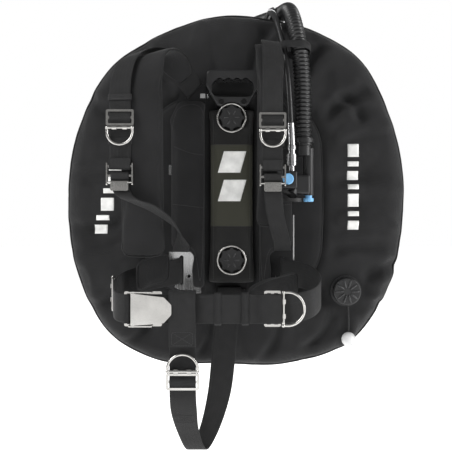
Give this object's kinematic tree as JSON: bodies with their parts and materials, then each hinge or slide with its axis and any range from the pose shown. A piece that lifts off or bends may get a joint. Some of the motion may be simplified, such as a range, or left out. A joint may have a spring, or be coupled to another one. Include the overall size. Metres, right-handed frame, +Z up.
{
  "type": "buoyancy compensator vest",
  "caption": "Backplate and webbing harness with a donut-shaped air cell behind it, padded back, inflator hose, dump valve, waist buckle and crotch strap.",
  "frame": {"origin": "midway between the two tank bolt holes, on the front face of the backplate's channel", "axes": "+X to the wearer's left, +Y away from the wearer's back towards the tank, +Z up as worn"},
  "size_m": [0.6912, 0.3545, 0.8778],
  "materials": {
    "wing_fabric": "woven nylon, near black",
    "bladder_film": "coated film",
    "panel_fabric": "woven nylon, near black",
    "pad_fabric": "padded fabric",
    "spine_fabric": "padded fabric, olive black",
    "webbing": "ribbed nylon webbing",
    "elastic": "woven elastic",
    "cord": "braided cord",
    "plate_steel": "brushed",
    "steel": "polished stainless steel",
    "black_metal": "black oxide",
    "silver_metal": "plated brass",
    "spring_steel": "drawn wire",
    "black_plastic": "moulded, fine texture",
    "blue_plastic": "moulded, smooth",
    "white_plastic": "moulded, smooth",
    "hose_rubber": "moulded rubber",
    "soft_rubber": "soft silicone rubber"
  },
  "bodies": {
    "root": {"adjuster_frames": "steel", "back_pad_left": "pad_fabric", "back_pad_right": "pad_fabric", "backplate": "plate_steel", "belt_keepers": "elastic", "buckle_frame": "steel", "buckle_pin": "steel", "carry_handle": "black_plastic", "corrugated_hose": "hose_rubber", "coupler_body": "silver_metal", "crotch_slider": "steel", "crotch_strap": "webbing", "deflate_spring": "spring_steel", "dump_valve_base": "black_plastic", "dump_valve_cover": "black_plastic", "dump_valve_spring": "spring_steel", "handle_screws": "black_metal", "hip_pad_left": "pad_fabric", "hip_pad_right": "pad_fabric", "hip_sliders": "steel", "hose_clamps": "black_plastic", "hose_elbow": "black_plastic", "hose_retainer": "elastic", "inflate_spring": "spring_steel", "inflator_body": "black_plastic", "left_lower_strap": "webbing", "left_shoulder_pad": "pad_fabric", "left_shoulder_webbing": "webbing", "lp_fitting": "silver_metal", "lp_hose": "hose_rubber", "lp_nipple": "silver_metal", "mouthpiece": "soft_rubber", "right_lower_strap": "webbing", "right_shoulder_pad": "pad_fabric", "right_shoulder_webbing": "webbing", "shoulder_sliders": "steel", "spine_pad": "spine_fabric", "thumbwheel_rings": "steel", "waist_belt_left": "webbing", "waist_belt_right": "webbing", "wing_bladder": "bladder_film", "wing_center_panel": "panel_fabric", "wing_grommets": "steel", "wing_shell": "wing_fabric"},
    "upper_thumbwheel": {"upper_thumbwheel": "black_plastic"},
    "lower_thumbwheel": {"lower_thumbwheel": "black_plastic"},
    "right_shoulder_ring": {"right_shoulder_d_ring": "steel"},
    "left_shoulder_ring": {"left_shoulder_d_ring": "steel"},
    "right_tongue": {"right_adjuster_tongue": "steel"},
    "left_tongue": {"left_adjuster_tongue": "steel"},
    "right_hip_ring": {"right_hip_d_ring": "steel"},
    "left_hip_ring": {"left_hip_d_ring": "steel"},
    "crotch_ring": {"crotch_d_ring": "steel"},
    "buckle_lid": {"buckle_flap": "steel"},
    "inflate_button": {"inflate_button": "blue_plastic"},
    "deflate_button": {"deflate_button": "blue_plastic"},
    "coupler_collar": {"coupler_collar": "silver_metal"},
    "dump_pull": {"dump_cord": "cord", "dump_knob": "white_plastic"},
    "dump_seal": {"dump_valve_seal": "soft_rubber"}
  },
  "joints": [
    {"name": "upper_thumbwheel_turn", "type": "hinge", "parent": "root", "child": "upper_thumbwheel", "pos_m": [0, -0.03, 0.1397], "axis": [0, 1, 0], "continuous": true},
    {"name": "lower_thumbwheel_turn", "type": "hinge", "parent": "root", "child": "lower_thumbwheel", "pos_m": [0, -0.03, -0.1397], "axis": [0, 1, 0], "continuous": true},
    {"name": "right_shoulder_ring_swing", "type": "hinge", "parent": "root", "child": "right_shoulder_ring", "pos_m": [-0.2005, -0.1659, 0.1025], "axis": [1, 0, 0], "range_deg": [-140, 0]},
    {"name": "left_shoulder_ring_swing", "type": "hinge", "parent": "root", "child": "left_shoulder_ring", "pos_m": [0.0745, -0.1309, 0.1025], "axis": [1, 0, 0], "range_deg": [-140, 0]},
    {"name": "right_tongue_tilt", "type": "hinge", "parent": "root", "child": "right_tongue", "pos_m": [-0.2005, -0.1671, 0.005], "axis": [1, 0, 0], "range_deg": [-50, 0]},
    {"name": "left_tongue_tilt", "type": "hinge", "parent": "root", "child": "left_tongue", "pos_m": [0.0745, -0.1321, 0.005], "axis": [1, 0, 0], "range_deg": [-50, 0]},
    {"name": "right_hip_ring_swing", "type": "hinge", "parent": "root", "child": "right_hip_ring", "pos_m": [-0.2204, -0.1095, -0.196], "axis": [0, 0, 1], "range_deg": [0, 140]},
    {"name": "left_hip_ring_swing", "type": "hinge", "parent": "root", "child": "left_hip_ring", "pos_m": [0.0875, -0.2139, -0.215], "axis": [0, 0, 1], "range_deg": [-140, 0]},
    {"name": "crotch_ring_swing", "type": "hinge", "parent": "root", "child": "crotch_ring", "pos_m": [-0.086, -0.2084, -0.3235], "axis": [1, 0, 0], "range_deg": [0, 150]},
    {"name": "buckle_lid_open", "type": "hinge", "parent": "root", "child": "buckle_lid", "pos_m": [-0.17, -0.2225, -0.215], "axis": [0, 0, 1], "range_deg": [-120, 0]},
    {"name": "inflate_press", "type": "slide", "parent": "root", "child": "inflate_button", "axis": [0, 1, 0], "range_m": [0, 0.003], "stiffness_N_per_m": 400},
    {"name": "deflate_press", "type": "slide", "parent": "root", "child": "deflate_button", "axis": [0, 0, 1], "range_m": [0, 0.005], "stiffness_N_per_m": 300},
    {"name": "collar_pull", "type": "slide", "parent": "root", "child": "coupler_collar", "axis": [0, 0, 1], "range_m": [0, 0.006], "stiffness_N_per_m": 400},
    {"name": "dump_cord_pull", "type": "slide", "parent": "root", "child": "dump_pull", "axis": [0, 0, -1], "range_m": [0, 0.012], "stiffness_N_per_m": 400},
    {"name": "dump_seal_lift", "type": "slide", "parent": "root", "child": "dump_seal", "axis": [0, -1, 0], "range_m": [0, 0.003]}
  ],
  "couplings": [
    {"joint": "dump_seal_lift", "follows": "dump_cord_pull", "ratio": 0.25}
  ]
}
